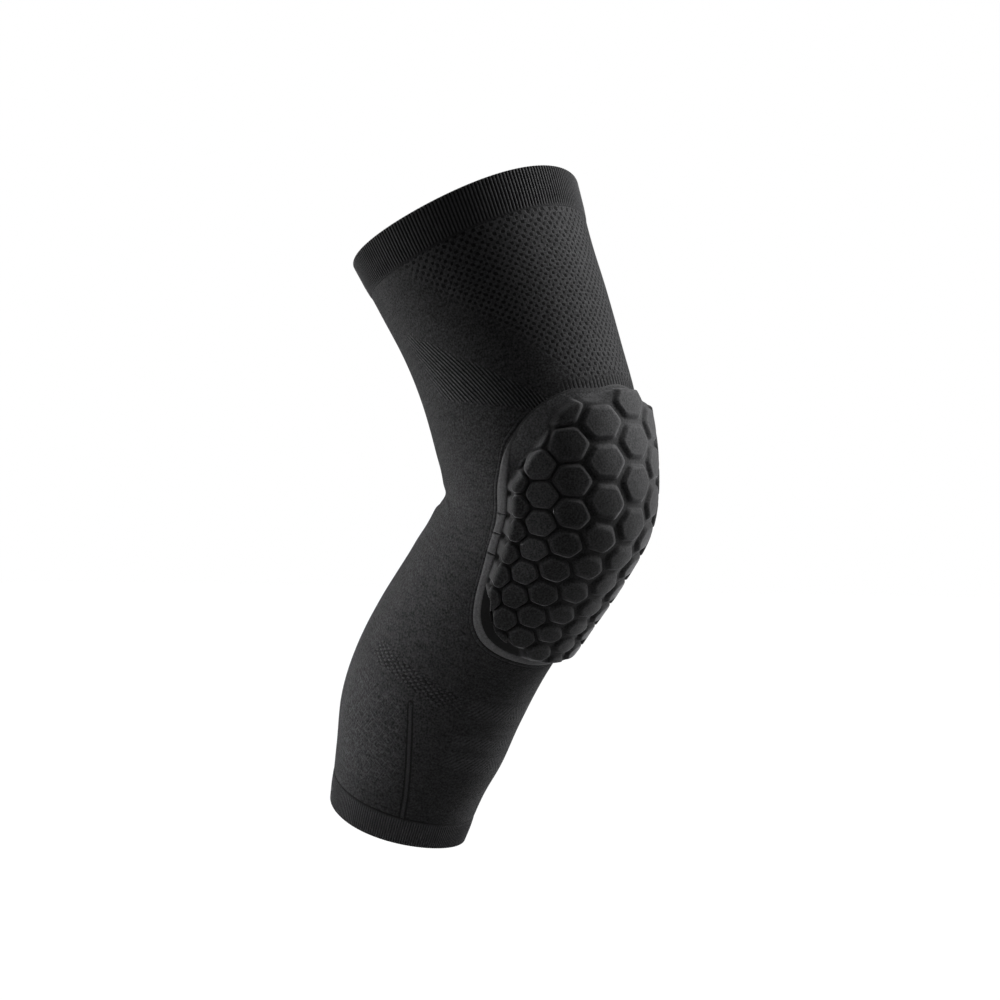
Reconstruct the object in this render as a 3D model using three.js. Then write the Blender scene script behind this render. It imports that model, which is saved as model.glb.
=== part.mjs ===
// Padded leg sleeve: a knitted tube with a bend in its middle, a ribbed cuff at each end, and a knee pad of
// hexagonal foam cells inside a flat bonded flange.
// Millimetres, +Z up. The bend points to -Y, and the origin is inside the hollow, in the middle of the bend.

import * as THREE from 'three';

// Driving dimensions
const wallThickness = 1.8;      // knitted wall of the tube
const cuffRise = 0.6;           // how far a cuff stands proud of the tube
const cuffInset = 0.4;          // how far a cuff reaches inside the tube's inner face
const cuffEdge = 0.8;           // rounding of a cuff's outer edges
const thighCuffHeight = 25;
const calfCuffHeight = 18;
const thighCuffDip = 5.5;       // both edges of the thigh cuff run this much lower at its sides
const calfCuffDip = 3;          // and both edges of the calf cuff this much
const pieceGap = 0.3;           // clearance between neighbouring pieces
const flangeSeat = 0.4;         // clearance under the pad's flange
const flangeThickness = 1.3;
const padSeat = 0.7;            // clearance under the pad's web, wide enough for its flat facets
const webThickness = 1.6;       // foam between the cells
const cellHeight = 8;           // foam cell, from the knit to its crown
const cellCrown = 0.4;          // extra height in the middle of a cell
const edgeCellShare = 0.75;     // height of a cell that the flange cuts short, as a share of a whole one

// Facets
const facetsRound = 44;         // round the sleeve
const ringsDown = 32;           // along the tube
const outlineSteps = 64;        // round the pad

// Sections of the sleeve, from the thigh rim down to the calf rim. Each is a plane through one point of the
// front line and one of the back line in the side view. halfWidth is measured to one side, and widest is the
// share of the depth that lies in front of the widest place.
const sections = [
  { frontY: -8, frontZ: 197.5, backY: 125.5, backZ: 135.5, halfWidth: 74, widest: 0.5 },
  { frontY: -21, frontZ: 158.5, backY: 105, backZ: 103.5, halfWidth: 69, widest: 0.5 },
  { frontY: -33.5, frontZ: 126.5, backY: 88, backZ: 75.5, halfWidth: 65, widest: 0.49 },
  { frontY: -45, frontZ: 93.5, backY: 76, backZ: 48.5, halfWidth: 62, widest: 0.47 },
  { frontY: -57, frontZ: 56.5, backY: 67, backZ: 18.5, halfWidth: 59.5, widest: 0.44 },
  { frontY: -63, frontZ: 15.5, backY: 63, backZ: 3, halfWidth: 58, widest: 0.41 },
  { frontY: -59, frontZ: -22.5, backY: 62, backZ: -1.5, halfWidth: 57, widest: 0.4 },
  { frontY: -39, frontZ: -56, backY: 69, backZ: -8.5, halfWidth: 55, widest: 0.41 },
  { frontY: -13, frontZ: -88.5, backY: 87, backZ: -32.5, halfWidth: 54, widest: 0.44 },
  { frontY: 11, frontZ: -119, backY: 111, backZ: -64.5, halfWidth: 55, widest: 0.47 },
  { frontY: 29.5, frontZ: -149, backY: 128, backZ: -92.5, halfWidth: 55, widest: 0.5 },
  { frontY: 42.5, frontZ: -173.5, backY: 140, backZ: -121, halfWidth: 53, widest: 0.5 },
  { frontY: 57, frontZ: -195, backY: 145, backZ: -153, halfWidth: 49, widest: 0.5 },
  { frontY: 72.5, frontZ: -225, backY: 150.5, backZ: -190.5, halfWidth: 45.2, widest: 0.5 },
];
const lastStation = sections.length - 1;

// Half of the pad's outline, from the top middle to the bottom middle. A station is a place between two rows
// of the section table, and spread is the angle from the front line in degrees.
const halfOutline = [
  { station: 3.7, spread: 0 },
  { station: 3.76, spread: 25 },
  { station: 3.95, spread: 55 },
  { station: 4.28, spread: 74 },
  { station: 4.6, spread: 85 },
  { station: 5.2, spread: 92 },
  { station: 5.8, spread: 92.5 },
  { station: 6.7, spread: 88 },
  { station: 7.5, spread: 77.5 },
  { station: 8.05, spread: 67 },
  { station: 8.3, spread: 58 },
  { station: 8.45, spread: 47 },
  { station: 8.54, spread: 30 },
  { station: 8.58, spread: 0 },
];
const padMiddle = { station: 6.15, spread: 0 };
const flangeInner = 0.937;      // inner edge of the flange, as a share of the outline's reach from the middle
const flangeBevel = 0.012;      // rounding of the flange's two upper edges, as such a share
const webOuter = 0.931;         // edge of the foam web
const cellLimit = 0.905;        // edge of the outermost cells

// Hexagon grid of the pad: columns run down the sleeve, and every other one is half a row lower
const columnsEachSide = 4;
const gridRows = 10;
const topRowStation = 4.12;
const rowStep = 0.575;          // stations from one row to the next at the top
const rowShrink = 0.011;        // rows grow shorter towards the bottom
const columnReach = 90;         // degrees that the columns close up towards
const columnStep = 15;          // degrees of the closing sine for one column
const columnTaper = 0.0037;     // columns draw together towards the bottom
const middleSag = 0.2;          // stations that the cells in the pad's middle sit lower than the rest
const middleColumns = 1.6;      // columns over which they do
const smallestCell = 0.12;      // a cell cut to less than this share of a whole one is left out
const shortestEdge = 1.5;       // millimetres between two corners of a cut cell

// Rings of one cell, from its foot on the web to the edge of its crown
const cellRings = [
  { share: 0.93, rise: 0 },
  { share: 0.89, rise: 0.78 },
  { share: 0.7, rise: 1 },
];

const knitBlack = { color: 0x232325, roughness: 0.88, metalness: 0 };
const foamBlack = { color: 0x1d1d1f, roughness: 0.72, metalness: 0 };

// Curves through the section table
const tableCurve = (first, second) => new THREE.CatmullRomCurve3(
  sections.map((row) => new THREE.Vector3(row[first], row[second], 0)), false, 'catmullrom', 0.5);
const frontLine = tableCurve('frontY', 'frontZ');
const backLine = tableCurve('backY', 'backZ');
const girthLine = tableCurve('halfWidth', 'widest');
const middleOf = (row) => new THREE.Vector3((row.frontY + row.backY) / 2, (row.frontZ + row.backZ) / 2, 0);
const axisLine = new THREE.CatmullRomCurve3(sections.map(middleOf), false, 'catmullrom', 0.5);
const legLength = axisLine.getLength();
const calfRim = legLength - calfCuffDip;

// The station that lies a given distance down the sleeve from the thigh rim
const stationAt = (distance) => lastStation * axisLine.getUtoTmapping(0, distance);

// A point on the knit's outer face. Angle 0 is the front, and positive angles go to +X.
function knitPoint(station, angle) {
  const place = THREE.MathUtils.clamp(station / lastStation, 0, 1);
  const front = frontLine.getPoint(place);
  const back = backLine.getPoint(place);
  const girth = girthLine.getPoint(place);
  const centre = front.clone().lerp(back, girth.y);
  const reach = Math.cos(angle) > 0 ? front : back;
  const inPlane = centre.lerp(reach, Math.abs(Math.cos(angle)));
  return new THREE.Vector3(girth.x * Math.sin(angle), inPlane.x, inPlane.y);
}

// A point above the knit's outer face, or inside it where lift is negative
function liftedPoint(station, angle, lift) {
  const nudge = 0.001;
  const along = knitPoint(station + nudge, angle).sub(knitPoint(station - nudge, angle));
  const around = knitPoint(station, angle + nudge).sub(knitPoint(station, angle - nudge));
  const normal = along.cross(around).normalize();
  return knitPoint(station, angle).addScaledVector(normal, lift);
}

function meshOf(name, positions, indices, look) {
  const geometry = new THREE.BufferGeometry();
  geometry.setAttribute('position', new THREE.Float32BufferAttribute(positions, 3));
  geometry.setIndex(indices);
  geometry.computeVertexNormals();
  const mesh = new THREE.Mesh(geometry, new THREE.MeshStandardMaterial(look));
  mesh.name = name;
  return mesh;
}

// A closed ring of the sleeve. Its profile runs down the outside and up inside, through points given by the
// distance down the sleeve, the dip of that edge at the sides, and the lift.
function legBand(name, profile, look) {
  const positions = [];
  const indices = [];
  for (let turn = 0; turn < facetsRound; turn += 1) {
    const angle = (2 * Math.PI * turn) / facetsRound;
    for (const { distance, dip, lift } of profile) {
      const station = stationAt(distance + dip * Math.sin(angle) ** 2);
      positions.push(...liftedPoint(station, angle, lift).toArray());
    }
  }
  const size = profile.length;
  for (let turn = 0; turn < facetsRound; turn += 1) {
    const here = turn * size;
    const beside = ((turn + 1) % facetsRound) * size;
    for (let corner = 0; corner < size; corner += 1) {
      const next = (corner + 1) % size;
      indices.push(here + corner, here + next, beside + next);
      indices.push(here + corner, beside + next, beside + corner);
    }
  }
  return meshOf(name, positions, indices, look);
}

function sleeveTube() {
  const top = thighCuffHeight + pieceGap;
  const bottom = calfRim - calfCuffHeight - pieceGap;
  const outside = [];
  for (let ring = 0; ring < ringsDown; ring += 1) {
    const share = ring / (ringsDown - 1);
    const distance = THREE.MathUtils.lerp(top, bottom, share);
    outside.push({ distance, dip: THREE.MathUtils.lerp(thighCuffDip, calfCuffDip, share), lift: 0 });
  }
  const inside = outside.map((point) => ({ ...point, lift: -wallThickness })).reverse();
  return legBand('sleeve_tube', [...outside, ...inside], knitBlack);
}

function cuff(name, start, end, dip) {
  const inner = -(wallThickness + cuffInset);
  const edge = cuffRise - cuffEdge;
  const profile = [
    { distance: start + cuffEdge, lift: cuffRise },
    { distance: end - cuffEdge, lift: cuffRise },
    { distance: end, lift: edge },
    { distance: end, lift: inner },
    { distance: start, lift: inner },
    { distance: start, lift: edge },
  ];
  return legBand(name, profile.map((point) => ({ ...point, dip })), knitBlack);
}

// Pad chart: x is the spread and y the station, both stretched to about a millimetre a unit
const chartPerDegree = 1.05;
const chartPerStation = 34;
const chartPoint = ({ station, spread }) => (
  new THREE.Vector2(spread * chartPerDegree, station * chartPerStation));
const chartMiddle = chartPoint(padMiddle);
const towardsMiddle = (point, share) => point.clone().sub(chartMiddle).multiplyScalar(share).add(chartMiddle);

function onPad(point, lift) {
  const spread = THREE.MathUtils.degToRad(point.x / chartPerDegree);
  return liftedPoint(point.y / chartPerStation, spread, lift).toArray();
}

// The pad's outline runs down the +X side and up the other, anticlockwise as seen from outside
const outlineCorners = [
  ...halfOutline,
  ...halfOutline.slice(1, -1).reverse().map(({ station, spread }) => ({ station, spread: -spread })),
].map(chartPoint).reverse();
const outlineCurve = new THREE.CatmullRomCurve3(
  outlineCorners.map((corner) => new THREE.Vector3(corner.x, corner.y, 0)), true, 'centripetal');
const padOutline = outlineCurve.getSpacedPoints(outlineSteps).slice(0, outlineSteps)
  .map((point) => new THREE.Vector2(point.x, point.y));

function padFlange() {
  const top = flangeSeat + flangeThickness;
  const profile = [
    { share: 1, lift: flangeSeat },
    { share: 1, lift: flangeSeat + flangeThickness / 2 },
    { share: 1 - flangeBevel, lift: top },
    { share: flangeInner + flangeBevel, lift: top },
    { share: flangeInner, lift: flangeSeat + flangeThickness / 2 },
    { share: flangeInner, lift: flangeSeat },
  ];
  const positions = [];
  const indices = [];
  for (const point of padOutline) {
    for (const { share, lift } of profile) {
      positions.push(...onPad(towardsMiddle(point, share), lift));
    }
  }
  const size = profile.length;
  for (let step = 0; step < outlineSteps; step += 1) {
    const here = step * size;
    const beside = ((step + 1) % outlineSteps) * size;
    for (let corner = 0; corner < size; corner += 1) {
      const next = (corner + 1) % size;
      indices.push(here + corner, beside + corner, beside + next);
      indices.push(here + corner, beside + next, here + next);
    }
  }
  return meshOf('pad_flange', positions, indices, foamBlack);
}

// How far a row of cells takes part in the sag: fully in the middle, not at the top or the foot
const middleRows = (row) => (
  THREE.MathUtils.smoothstep(row, 1.2, 3.4) * (1 - THREE.MathUtils.smoothstep(row, 5, 9)));

// Place of a grid point on the pad chart
function gridPoint(column, row) {
  const inMiddle = Math.exp(-((column / middleColumns) ** 2)) * middleRows(row);
  const station = topRowStation + rowStep * row - rowShrink * row * row + middleSag * inMiddle;
  const closing = columnReach * Math.sin(THREE.MathUtils.degToRad(columnStep * column));
  return chartPoint({ station, spread: closing * (1 - columnTaper * row * row) });
}

function hexagon(column, row) {
  const corners = [
    [column + 2 / 3, row],
    [column + 1 / 3, row - 1 / 2],
    [column - 1 / 3, row - 1 / 2],
    [column - 2 / 3, row],
    [column - 1 / 3, row + 1 / 2],
    [column + 1 / 3, row + 1 / 2],
  ];
  return corners.map(([across, down]) => gridPoint(across, down));
}

const sideOf = (start, end, point) => end.clone().sub(start).cross(point.clone().sub(start));

// What is left of a cell inside a rounded limit, cut edge by edge
function clipped(cell, limit) {
  let kept = cell;
  limit.forEach((start, index) => {
    const end = limit[(index + 1) % limit.length];
    const before = kept;
    kept = [];
    before.forEach((point, place) => {
      const last = before[(place + before.length - 1) % before.length];
      const side = sideOf(start, end, point);
      const lastSide = sideOf(start, end, last);
      if ((side < 0) !== (lastSide < 0)) {
        kept.push(last.clone().lerp(point, lastSide / (lastSide - side)));
      }
      if (side < 0) {
        kept.push(point);
      }
    });
  });
  return kept;
}

// A cut cell without the corners that lie too close to the next one
function withoutShortEdges(cell) {
  return cell.filter((point, place) => point.distanceTo(cell[(place + 1) % cell.length]) > shortestEdge);
}

function padCells() {
  const limit = outlineCorners.map((corner) => towardsMiddle(corner, cellLimit));
  const cells = [];
  for (let column = -columnsEachSide; column <= columnsEachSide; column += 1) {
    const offset = column % 2 === 0 ? 0 : -0.5;
    for (let row = offset; row < gridRows; row += 1) {
      const whole = hexagon(column, row);
      const corners = withoutShortEdges(clipped(whole, limit));
      const share = THREE.ShapeUtils.area(corners) / THREE.ShapeUtils.area(whole);
      if (corners.length > 2 && share > smallestCell) {
        const middle = corners.reduce((sum, point) => sum.add(point), new THREE.Vector2());
        middle.divideScalar(corners.length);
        const height = cellHeight * THREE.MathUtils.lerp(edgeCellShare, 1, Math.min(share, 1));
        cells.push({ corners, middle, height });
      }
    }
  }
  return cells;
}

// Whether a point lies inside the circle through three others that run anticlockwise
function insideCircle(first, second, third, point) {
  const rows = [first, second, third].map((corner) => {
    const offset = corner.clone().sub(point);
    return [offset.x, offset.y, offset.lengthSq()];
  });
  return new THREE.Matrix3(...rows.flat()).determinant() > 1e-6;
}

// Triangles between the pad's edge and the feet of its cells. Long ones would cut through the curve of the
// tube, so an edge that two of them share is swapped for the other diagonal until all are as round as can be.
function webTriangles(chart, edge, feet) {
  const anticlockwise = ([first, second, third]) => (
    sideOf(chart[first], chart[second], chart[third]) > 0 ? [first, second, third] : [first, third, second]);
  const holes = feet.map((foot) => foot.slice());
  const triangles = THREE.ShapeUtils.triangulateShape(edge.slice(), holes).map(anticlockwise);
  let swaps = 1;
  while (swaps > 0) {
    swaps = 0;
    const owners = new Map();
    triangles.forEach((triangle, index) => {
      triangle.forEach((corner, place) => owners.set(`${corner} ${triangle[(place + 1) % 3]}`, index));
    });
    const changed = new Set();
    triangles.forEach((triangle, index) => {
      for (let place = 0; place < 3 && !changed.has(index); place += 1) {
        const start = triangle[place];
        const end = triangle[(place + 1) % 3];
        const apex = triangle[(place + 2) % 3];
        const other = owners.get(`${end} ${start}`);
        if (other !== undefined && !changed.has(other)) {
          const facing = triangles[other].find((corner) => corner !== start && corner !== end);
          if (insideCircle(chart[start], chart[end], chart[apex], chart[facing])) {
            triangles[index] = [apex, start, facing];
            triangles[other] = [facing, end, apex];
            changed.add(index).add(other);
            swaps += 1;
          }
        }
      }
    });
  }
  return triangles.map(([first, second, third]) => [first, third, second]);
}

// The foam pad: a web with a hole for each cell, the cells standing on the holes, and a closed back
function hexPad() {
  const cells = padCells();
  const webTop = padSeat + webThickness;
  const positions = [];
  const indices = [];
  const addPoint = (point, lift) => positions.push(...onPad(point, lift)) / 3 - 1;
  const addRing = (points, lift) => points.map((point) => addPoint(point, lift));
  const addWall = (lower, upper) => {
    lower.forEach((corner, place) => {
      const next = (place + 1) % lower.length;
      indices.push(corner, lower[next], upper[next]);
      indices.push(corner, upper[next], upper[place]);
    });
  };

  const edge = padOutline.map((point) => towardsMiddle(point, webOuter));
  const feet = cells.map(({ corners, middle }) => (
    corners.map((point) => middle.clone().lerp(point, cellRings[0].share))));
  const edgeTop = addRing(edge, webTop);
  const edgeBack = addRing(edge, padSeat);
  addWall(edgeBack, edgeTop);

  const feetTop = feet.map((foot) => addRing(foot, webTop));
  const feetBack = feet.map((foot) => addRing(foot, padSeat));
  const chart = [...edge, ...feet.flat()];
  const topOf = [...edgeTop, ...feetTop.flat()];
  const backOf = [...edgeBack, ...feetBack.flat()];
  for (const [first, second, third] of webTriangles(chart, edge, feet)) {
    indices.push(topOf[first], topOf[second], topOf[third]);
    indices.push(backOf[first], backOf[third], backOf[second]);
  }

  cells.forEach(({ corners, middle, height }, index) => {
    let lower = feetTop[index];
    for (const { share, rise } of cellRings.slice(1)) {
      const lift = THREE.MathUtils.lerp(webTop, height, rise);
      const upper = addRing(corners.map((point) => middle.clone().lerp(point, share)), lift);
      addWall(lower, upper);
      lower = upper;
    }
    const crown = addPoint(middle, height + cellCrown);
    const back = addPoint(middle, padSeat);
    lower.forEach((corner, place) => {
      const next = (place + 1) % lower.length;
      indices.push(corner, lower[next], crown);
      indices.push(feetBack[index][next], feetBack[index][place], back);
    });
  });
  return meshOf('hex_pad', positions, indices, foamBlack);
}

const paddedLegSleeve = new THREE.Group();
paddedLegSleeve.add(
  cuff('thigh_cuff', 0, thighCuffHeight, thighCuffDip),
  sleeveTube(),
  cuff('calf_cuff', calfRim - calfCuffHeight, calfRim, calfCuffDip),
  padFlange(),
  hexPad(),
);

export default paddedLegSleeve;
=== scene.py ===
import math

import bpy
import numpy as np
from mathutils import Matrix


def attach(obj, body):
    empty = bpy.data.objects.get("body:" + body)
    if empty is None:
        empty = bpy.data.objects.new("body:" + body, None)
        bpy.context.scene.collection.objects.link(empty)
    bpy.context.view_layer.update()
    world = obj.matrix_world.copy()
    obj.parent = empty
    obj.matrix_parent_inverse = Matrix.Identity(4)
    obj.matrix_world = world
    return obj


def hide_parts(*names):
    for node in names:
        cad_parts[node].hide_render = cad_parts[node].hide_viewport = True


# Padded leg sleeve: each piece is modelled flat, as its cut, then drawn onto the sleeve's bent form
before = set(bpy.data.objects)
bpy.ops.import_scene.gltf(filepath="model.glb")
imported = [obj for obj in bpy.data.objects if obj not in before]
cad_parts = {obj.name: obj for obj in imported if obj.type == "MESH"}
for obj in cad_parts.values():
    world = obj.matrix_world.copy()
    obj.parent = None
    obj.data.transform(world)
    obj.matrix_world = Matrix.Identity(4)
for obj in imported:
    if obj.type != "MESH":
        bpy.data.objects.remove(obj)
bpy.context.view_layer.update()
print("frame loaded:", sorted(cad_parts))


# the bent form that every piece follows
legForm = {
    "rows": [  # frontY, frontZ, backY, backZ, half width (mm) and the widest place as a share of the depth
        (-8, 197.5, 125.5, 135.5, 74, 0.5),
        (-21, 158.5, 105, 103.5, 69, 0.5),
        (-33.5, 126.5, 88, 75.5, 65, 0.49),
        (-45, 93.5, 76, 48.5, 62, 0.47),
        (-57, 56.5, 67, 18.5, 59.5, 0.44),
        (-63, 15.5, 63, 3, 58, 0.41),
        (-59, -22.5, 62, -1.5, 57, 0.4),
        (-39, -56, 69, -8.5, 55, 0.41),
        (-13, -88.5, 87, -32.5, 54, 0.44),
        (11, -119, 111, -64.5, 55, 0.47),
        (29.5, -149, 128, -92.5, 55, 0.5),
        (42.5, -173.5, 140, -121, 53, 0.5),
        (57, -195, 145, -153, 49, 0.5),
        (72.5, -225, 150.5, -190.5, 45.2, 0.5),
    ],
    "wall": 1.8,            # knit thickness
    "thighCuff": 25,        # cuff heights along the sleeve, and how far each cuff's edges dip at the sides
    "thighDip": 5.5,
    "calfCuff": 18,
    "calfDip": 3,
    "fineSteps": 2600,
}
mm = 0.001
legRows = np.array(legForm["rows"], float)
lastStation = len(legRows) - 1


def curveThrough(points, place):  # smooth curve through points; place counts points from the first
    points = np.asarray(points, float)
    ends = np.vstack([2 * points[0] - points[1], points, 2 * points[-1] - points[-2]])
    place = np.clip(np.asarray(place, float), 0, len(points) - 1)
    first = np.minimum(place.astype(int), len(points) - 2)
    t = (place - first)[..., None]
    before, start, end, after = (ends[first + step] for step in range(4))
    leaving, arriving = (end - before) / 2, (after - start) / 2
    return ((2 * t**3 - 3 * t**2 + 1) * start + (t**3 - 2 * t**2 + t) * leaving
            + (3 * t**2 - 2 * t**3) * end + (t**3 - t**2) * arriving)


def legPoint(station, angle):  # on the knit's outer face, in mm; angle 0 is the front, + goes to +X
    row = curveThrough(legRows, station)
    front, back = row[..., 0:2], row[..., 2:4]
    centre = front + (back - front) * row[..., 5:6]
    turn = np.cos(angle)[..., None]
    inPlane = centre + (np.where(turn > 0, front, back) - centre) * np.abs(turn)
    return np.concatenate([(row[..., 4] * np.sin(angle))[..., None], inPlane], -1)


def onLeg(station, angle, lift):  # in metres, lift in mm off the knit's outer face
    station, angle, lift = np.broadcast_arrays(station, angle, lift)
    nudge = 0.001
    along = legPoint(station + nudge, angle) - legPoint(station - nudge, angle)
    around = legPoint(station, angle + nudge) - legPoint(station, angle - nudge)
    normal = np.cross(along, around)
    normal /= np.linalg.norm(normal, axis=-1, keepdims=True)
    return (legPoint(station, angle) + normal * lift[..., None]) * mm


fineStations = np.linspace(0, lastStation, legForm["fineSteps"] + 1)
middleLine = curveThrough((legRows[:, 0:2] + legRows[:, 2:4]) / 2, fineStations)
middleSteps = np.linalg.norm(np.diff(middleLine, axis=0), axis=1)
middleRun = np.concatenate([[0], np.cumsum(middleSteps)])
legLength = middleRun[-1]
calfRim = legLength - legForm["calfDip"]


def stationAt(distance, dip, angle):  # distance in mm down the sleeve from the thigh rim
    return np.interp(distance + dip * np.sin(angle) ** 2, middleRun, fineStations)


def lengthAt(station, angle):  # mm along the sleeve for one station
    nudge = 0.02
    step = legPoint(station + nudge, angle) - legPoint(station - nudge, angle)
    return np.linalg.norm(step, axis=-1) / (2 * nudge)


def girthAt(station, angle):  # mm round the sleeve for one radian
    nudge = 0.01
    step = legPoint(station, angle + nudge) - legPoint(station, angle - nudge)
    return np.linalg.norm(step, axis=-1) / (2 * nudge)


def smooth(value, start, end):  # rises from 0 to 1
    t = np.clip((np.asarray(value, float) - start) / (end - start), 0, 1)
    return t * t * (3 - 2 * t)


def fall(value, start, end):  # falls from 1 to 0
    return 1 - smooth(value, start, end)


def table(value, rows):  # straight lines through pairs
    return np.interp(value, *zip(*rows))


# mesh helpers
def addGrid(name, across, along):  # flat cut one unit square, with its UV map
    bpy.ops.object.select_all(action="DESELECT")
    bpy.ops.mesh.primitive_grid_add(x_subdivisions=across, y_subdivisions=along, size=1, calc_uvs=True)
    return named(name)


def named(name):
    piece = bpy.context.object
    piece.name = name
    piece.data.name = name
    return piece


def makeActive(piece):
    bpy.ops.object.select_all(action="DESELECT")
    piece.select_set(True)
    bpy.context.view_layer.objects.active = piece


def corners(piece):
    places = np.zeros(len(piece.data.vertices) * 3)
    piece.data.vertices.foreach_get("co", places)
    return places.reshape(-1, 3)


def setCorners(piece, places):
    piece.data.vertices.foreach_set("co", np.asarray(places, np.float32).ravel())
    piece.data.update()


def paint(piece, name, values):  # one number at each corner, for the finishes
    layer = piece.data.attributes.new(name, "FLOAT", "POINT")
    layer.data.foreach_set("value", np.asarray(values, np.float32))


def weld(piece, distance=1e-6):
    makeActive(piece)
    bpy.ops.object.mode_set(mode="EDIT")
    bpy.ops.mesh.select_all(action="SELECT")
    bpy.ops.mesh.remove_doubles(threshold=distance)
    bpy.ops.object.mode_set(mode="OBJECT")


def modify(piece, kind, **settings):
    makeActive(piece)
    modifier = piece.modifiers.new(kind.title(), kind)
    for name, value in settings.items():
        setattr(modifier, name, value)
    bpy.ops.object.modifier_apply(modifier=modifier.name)


def smoothShade(piece):
    makeActive(piece)
    bpy.ops.object.shade_smooth()


def sharpen(piece, degrees):  # keeps the shading crisp across edges that turn by more than this
    makeActive(piece)
    bpy.ops.object.mode_set(mode="EDIT")
    bpy.ops.mesh.select_mode(type="EDGE")
    bpy.ops.mesh.select_all(action="DESELECT")
    bpy.ops.mesh.edges_select_sharp(sharpness=math.radians(degrees))
    bpy.ops.mesh.mark_sharp()
    bpy.ops.object.mode_set(mode="OBJECT")


# shader helpers
class Wire:  # a socket in a node tree; arithmetic on it adds Math nodes
    def __init__(self, tree, socket=None):
        self.tree = tree
        self.socket = socket

    def node(self, kind, settings=None, inputs=None, out=0):
        made = self.tree.nodes.new(kind)
        for name, value in (settings or {}).items():
            setattr(made, name, value)
        for name, value in (inputs or {}).items():
            if isinstance(value, Wire):
                self.tree.links.new(value.socket, made.inputs[name])
            else:
                made.inputs[name].default_value = value
        return Wire(self.tree, made.outputs[out] if len(made.outputs) else None)

    def also(self, out):  # another output of the same node
        return Wire(self.tree, self.socket.node.outputs[out])

    def math(self, operation, first, second=0.0):
        return self.node("ShaderNodeMath", {"operation": operation}, {0: first, 1: second})

    def __add__(self, other):
        return self.math("ADD", self, other)

    def __radd__(self, other):
        return self.math("ADD", other, self)

    def __sub__(self, other):
        return self.math("SUBTRACT", self, other)

    def __rsub__(self, other):
        return self.math("SUBTRACT", other, self)

    def __mul__(self, other):
        return self.math("MULTIPLY", self, other)

    def __rmul__(self, other):
        return self.math("MULTIPLY", other, self)

    def __pow__(self, other):
        return self.math("POWER", self, other)

    def __abs__(self):
        return self.math("ABSOLUTE", self)

    def swing(self):  # between -1 and 1 once each unit, 1 at whole numbers
        return self.math("COSINE", self * (2 * math.pi))

    def wave(self):  # the same between 0 and 1
        return self.swing() * 0.5 + 0.5

    def fraction(self):
        return self.math("FRACT", self)

    def step(self, start, end):  # soft step from 0 to 1
        return self.node("ShaderNodeMapRange", {"interpolation_type": "SMOOTHSTEP"},
                         {"Value": self, "From Min": start, "From Max": end})

    def line(self, place, halfWidth):  # 1 on a line at that value, soft on both sides
        return 1 - abs(self - place).step(halfWidth * 0.4, halfWidth)

    def shade(self, dark, light):  # colour between two, by this number
        return self.node("ShaderNodeMix", {"data_type": "RGBA"},
                         {"Factor": self, 6: (*dark, 1), 7: (*light, 1)}, out=2)


def startFinish(name):
    material = bpy.data.materials.new(name)
    material.use_nodes = True
    material.node_tree.nodes.clear()
    return material, Wire(material.node_tree)


def attribute(sheet, name):
    return sheet.node("ShaderNodeAttribute", {"attribute_name": name}, out=2)


def grain(sheet, scale, detail=2.0):  # even noise in Object coordinates, scale per metre
    place = sheet.node("ShaderNodeTexCoord", out=3)
    return sheet.node("ShaderNodeTexNoise", None, {"Vector": place, "Scale": scale, "Detail": detail})


def closeFinish(sheet, tone, light, roughness, height, sheen):  # tone 0 is the dark yarn, height is in mm
    normal = sheet.node("ShaderNodeBump", None, {"Height": height, "Distance": mm, "Strength": 1.0})
    shader = sheet.node("ShaderNodeBsdfPrincipled", None, {
        "Base Color": tone.shade(blackYarn["dark"], light),
        "Roughness": roughness - tone * sheen["polish"], "Normal": normal,
        "Specular IOR Level": sheen["gloss"], "Sheen Weight": sheen["weight"],
        "Sheen Roughness": sheen["roughness"], "Sheen Tint": (*sheen["tint"], 1)})
    sheet.node("ShaderNodeOutputMaterial", None, {"Surface": shader})


jersey = {"slant": 0.55, "roundness": 0.6, "relief": 0.6}


def stitches(across, down):  # jersey: two slanting strands in each wale
    side = abs(across.fraction() - 0.5) * 2
    strands = (down + side * jersey["slant"]).wave()
    rounding = side.math("SINE", side * math.pi) ** jersey["roundness"]
    return rounding * (strands * jersey["relief"] + (1 - jersey["relief"]))


blackYarn = {"dark": (0.0025, 0.0025, 0.0027), "light": (0.042, 0.042, 0.044)}
knitSheen = {"gloss": 0.15, "weight": 0.1, "roughness": 0.4, "tint": (0.8, 0.8, 0.82), "polish": 0.15}
smoothSheen = {"gloss": 0.18, "weight": 0.29, "roughness": 0.4, "tint": (0.8, 0.8, 0.82), "polish": 0.15}


# where the pad lies on the tube
padPlan = {
    "outline": [  # station and spread in degrees, from the top middle to the bottom middle
        (3.7, 0), (3.76, 25), (3.95, 55), (4.28, 74), (4.6, 85), (5.2, 92), (5.8, 92.5),
        (6.7, 88), (7.5, 77.5), (8.05, 67), (8.3, 58), (8.45, 47), (8.54, 30), (8.58, 0),
    ],
    "middle": 6.15,         # station that the pad's shares are measured from
    "perDegree": 1.05,      # the chart's millimetres for a degree and for a station
    "perStation": 34,
    "outlineSteps": 640,
    "foamEdge": [  # degrees from the top of the pad, and the share of the outline where the foam ends there
        (0, 0.94), (6, 0.935), (12, 0.93), (17, 0.945), (24, 0.98), (30, 0.985), (48, 0.985),
        (62, 0.95), (75, 0.932), (108, 0.935), (122, 0.95), (140, 0.957), (160, 0.962), (180, 0.962),
    ],
}


def padChart(station, spread):
    return spread * padPlan["perDegree"], (station - padPlan["middle"]) * padPlan["perStation"]


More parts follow.
